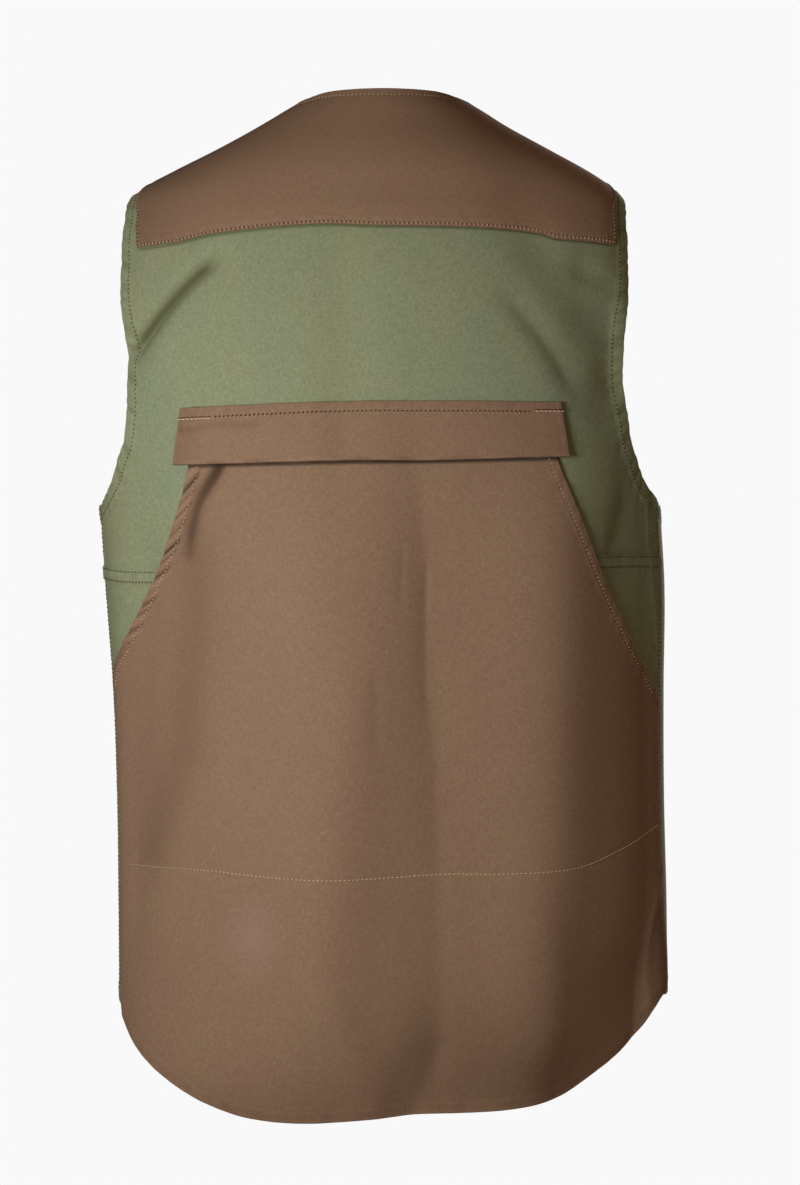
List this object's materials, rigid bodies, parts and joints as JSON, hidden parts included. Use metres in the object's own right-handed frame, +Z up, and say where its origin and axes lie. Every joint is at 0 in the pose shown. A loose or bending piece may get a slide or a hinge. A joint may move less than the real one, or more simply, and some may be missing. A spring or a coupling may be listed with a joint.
{
  "type": "canvas gilet",
  "caption": "Sleeveless canvas gilet in its worn form: back with a contrast yoke, flap and game pocket, curved tail, V-necked fronts lapped and buttoned.",
  "frame": {"origin": "between the two neck sides of the shoulders, where the wearer's shoulders carry the garment", "axes": "+Z up the garment, +Y out of its front, +X to the wearer's right; the back faces -Y"},
  "size_m": [0.4251, 0.267, 0.7593],
  "materials": {
    "green_canvas": "plain-woven cotton canvas, mid green, matt and slightly mottled",
    "brown_canvas": "plain-woven cotton canvas, tobacco brown, matt, with khaki topstitching",
    "button": "dark brown horn-like plastic, satin"
  },
  "bodies": {
    "root": {"back_upper": "green_canvas", "back_lower": "green_canvas", "front_left": "green_canvas", "front_right": "green_canvas", "yoke": "brown_canvas", "game_pocket": "brown_canvas", "pocket_flap": "brown_canvas", "button_1": "button", "button_2": "button", "button_3": "button", "button_4": "button", "button_5": "button"}
  },
  "joints": []
}
